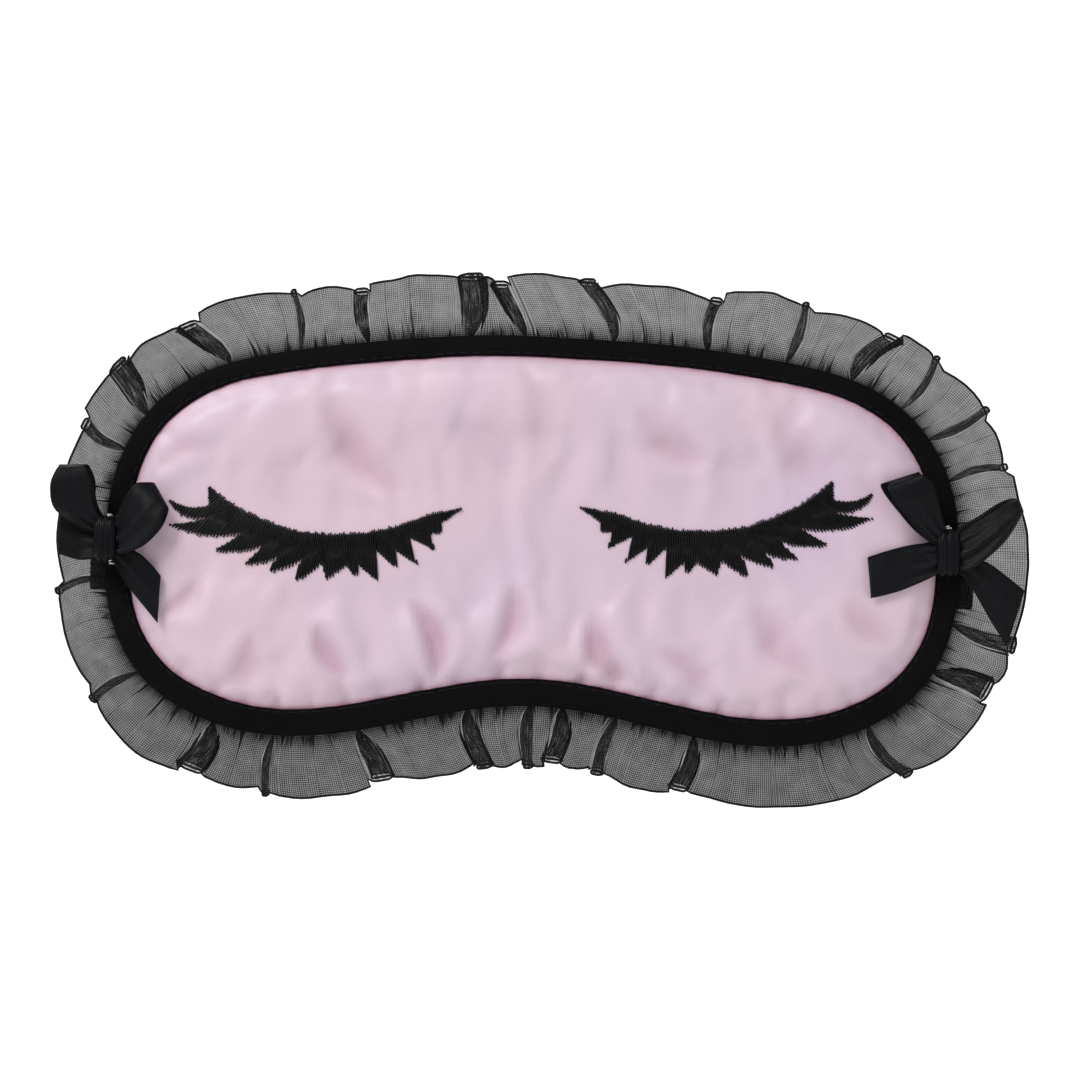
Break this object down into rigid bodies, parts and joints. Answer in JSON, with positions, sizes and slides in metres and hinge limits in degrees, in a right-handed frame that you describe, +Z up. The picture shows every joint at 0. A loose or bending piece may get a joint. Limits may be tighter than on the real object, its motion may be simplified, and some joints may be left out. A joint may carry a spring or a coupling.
{
  "type": "sleep eye mask",
  "caption": "Padded satin sleep mask with embroidered closed eyes, black bound edge, gathered sheer ruffle, ribbon bows at the temples and an elastic head strap.",
  "frame": {"origin": "middle of the flat face-side panel, at the height of the temples' centre", "axes": "+X to the viewer's right, +Y out of the face side towards the wearer and the strap, +Z up as worn"},
  "size_m": [0.2284, 0.0875, 0.123],
  "materials": {
    "satin_front": "smooth pale mauve-pink polyester satin with soft sheen",
    "satin_back": "pale mauve-pink satin, face side",
    "wadding": "white polyester wadding",
    "blackout_cloth": "dense black light-blocking lining",
    "binding_tape": "black folded fine-rib binding tape",
    "black_thread": "black polyester sewing thread",
    "organza": "sheer black organza",
    "embroidery_thread": "black rayon embroidery thread, satin stitch",
    "satin_ribbon": "black double-face satin ribbon",
    "elastic": "black ribbed flat elastic",
    "tack_thread": "pale tacking thread"
  },
  "bodies": {
    "mask": {"back_panel": "satin_back", "blackout_lining": "blackout_cloth", "padding": "wadding", "front_panel": "satin_front", "edge_binding": "binding_tape", "binding_topstitch": "black_thread", "ruffle": "organza", "ruffle_hem": "black_thread", "ruffle_gather_stitch": "black_thread", "left_eye_embroidery": "embroidery_thread", "right_eye_embroidery": "embroidery_thread", "strap_left_end": "elastic", "strap_right_end": "elastic", "strap_left_bar_tack": "black_thread", "strap_right_bar_tack": "black_thread"},
    "left_bow": {"left_bow_knot": "satin_ribbon", "left_bow_upper_loop": "satin_ribbon", "left_bow_inner_loop": "satin_ribbon", "left_bow_lower_tail": "satin_ribbon", "left_bow_outer_tail": "satin_ribbon", "left_bow_tack_stitch": "tack_thread"},
    "right_bow": {"right_bow_knot": "satin_ribbon", "right_bow_inner_loop": "satin_ribbon", "right_bow_outer_loop": "satin_ribbon", "right_bow_inner_tail": "satin_ribbon", "right_bow_lower_tail": "satin_ribbon", "right_bow_tack_stitch": "tack_thread"},
    "strap": {"strap_left_side": "elastic", "strap_right_side": "elastic"},
    "strap_rear": {"strap_back": "elastic"}
  },
  "joints": [
    {"name": "left_bow_swivel", "type": "hinge", "parent": "mask", "child": "left_bow", "pos_m": [-0.0986, -0.006, -0.002], "axis": [0, 1, 0], "range_deg": [-20, 20]},
    {"name": "right_bow_swivel", "type": "hinge", "parent": "mask", "child": "right_bow", "pos_m": [0.0962, -0.006, -0.0008], "axis": [0, 1, 0], "range_deg": [-20, 20]},
    {"name": "strap_tilt", "type": "hinge", "parent": "mask", "child": "strap", "pos_m": [0, 0.0046, -0.009], "axis": [1, 0, 0], "range_deg": [-45, 45]},
    {"name": "strap_stretch", "type": "slide", "parent": "strap", "child": "strap_rear", "axis": [0, 1, 0], "range_m": [0, 0.06], "stiffness_N_per_m": 50, "deforming": ["strap_left_side", "strap_right_side"]}
  ]
}
